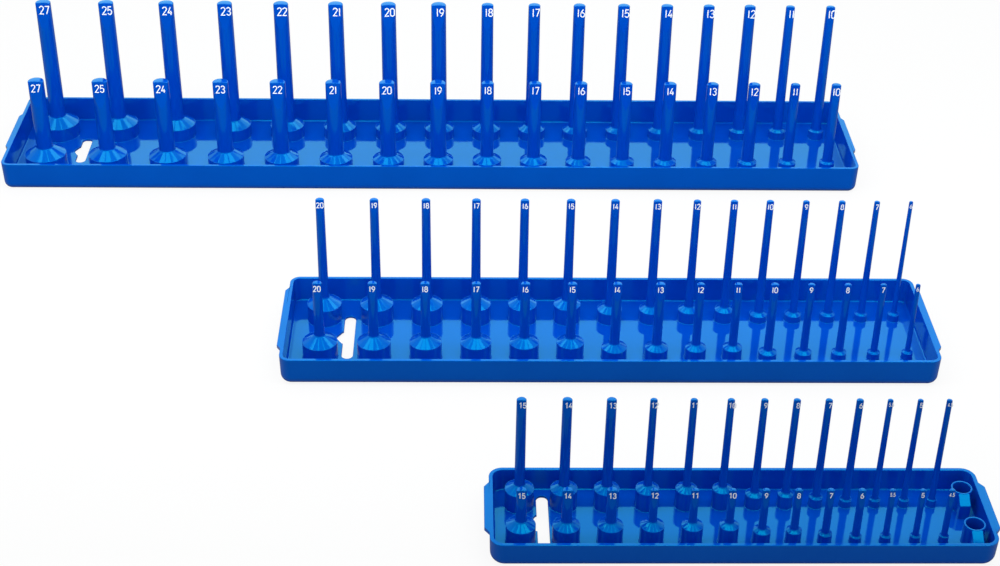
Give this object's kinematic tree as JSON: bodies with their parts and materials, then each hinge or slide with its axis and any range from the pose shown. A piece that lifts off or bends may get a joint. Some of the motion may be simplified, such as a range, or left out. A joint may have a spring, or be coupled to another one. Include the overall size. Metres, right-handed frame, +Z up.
{
  "type": "socket tray set",
  "caption": "Set of moulded socket trays with a row of short and a row of tall posts each, for half-inch, three-eighths-inch and quarter-inch drive sockets.",
  "frame": {"origin": "centre of the overall box, on the surface that the trays stand on", "axes": "+X along the trays towards the small sizes, +Y from the front row of posts to the back row, +Z up"},
  "size_m": [0.5264, 0.4282, 0.0925],
  "materials": {
    "blue_plastic": "glossy moulded plastic"
  },
  "bodies": {
    "half_inch_set": {"half_inch_tray": "blue_plastic", "half_deep_post_27": "blue_plastic", "half_deep_post_25": "blue_plastic", "half_deep_post_24": "blue_plastic", "half_deep_post_23": "blue_plastic", "half_deep_post_22": "blue_plastic", "half_deep_post_21": "blue_plastic", "half_deep_post_20": "blue_plastic", "half_deep_post_19": "blue_plastic", "half_deep_post_18": "blue_plastic", "half_deep_post_17": "blue_plastic", "half_deep_post_16": "blue_plastic", "half_deep_post_15": "blue_plastic", "half_deep_post_14": "blue_plastic", "half_deep_post_13": "blue_plastic", "half_deep_post_12": "blue_plastic", "half_deep_post_11": "blue_plastic", "half_deep_post_10": "blue_plastic"},
    "three_eighths_inch_set": {"three_eighths_inch_tray": "blue_plastic", "three_eighths_deep_post_20": "blue_plastic", "three_eighths_deep_post_19": "blue_plastic", "three_eighths_deep_post_18": "blue_plastic", "three_eighths_deep_post_17": "blue_plastic", "three_eighths_deep_post_16": "blue_plastic", "three_eighths_deep_post_15": "blue_plastic", "three_eighths_deep_post_14": "blue_plastic", "three_eighths_deep_post_13": "blue_plastic", "three_eighths_deep_post_12": "blue_plastic", "three_eighths_deep_post_11": "blue_plastic", "three_eighths_deep_post_10": "blue_plastic", "three_eighths_deep_post_9": "blue_plastic", "three_eighths_deep_post_8": "blue_plastic", "three_eighths_deep_post_7": "blue_plastic", "three_eighths_deep_post_6": "blue_plastic"},
    "quarter_inch_set": {"quarter_inch_tray": "blue_plastic", "quarter_deep_post_15": "blue_plastic", "quarter_deep_post_14": "blue_plastic", "quarter_deep_post_13": "blue_plastic", "quarter_deep_post_12": "blue_plastic", "quarter_deep_post_11": "blue_plastic", "quarter_deep_post_10": "blue_plastic", "quarter_deep_post_9": "blue_plastic", "quarter_deep_post_8": "blue_plastic", "quarter_deep_post_7": "blue_plastic", "quarter_deep_post_6": "blue_plastic", "quarter_deep_post_5_5": "blue_plastic", "quarter_deep_post_5": "blue_plastic", "quarter_deep_post_4_5": "blue_plastic", "quarter_tube_front": "blue_plastic", "quarter_tube_back": "blue_plastic"}
  },
  "joints": [
    {"name": "three_eighths_inch_lift", "type": "slide", "parent": "half_inch_set", "child": "three_eighths_inch_set", "axis": [0, 0, 1], "range_m": [0, 0.12]},
    {"name": "quarter_inch_lift", "type": "slide", "parent": "half_inch_set", "child": "quarter_inch_set", "axis": [0, 0, 1], "range_m": [0, 0.12]}
  ]
}
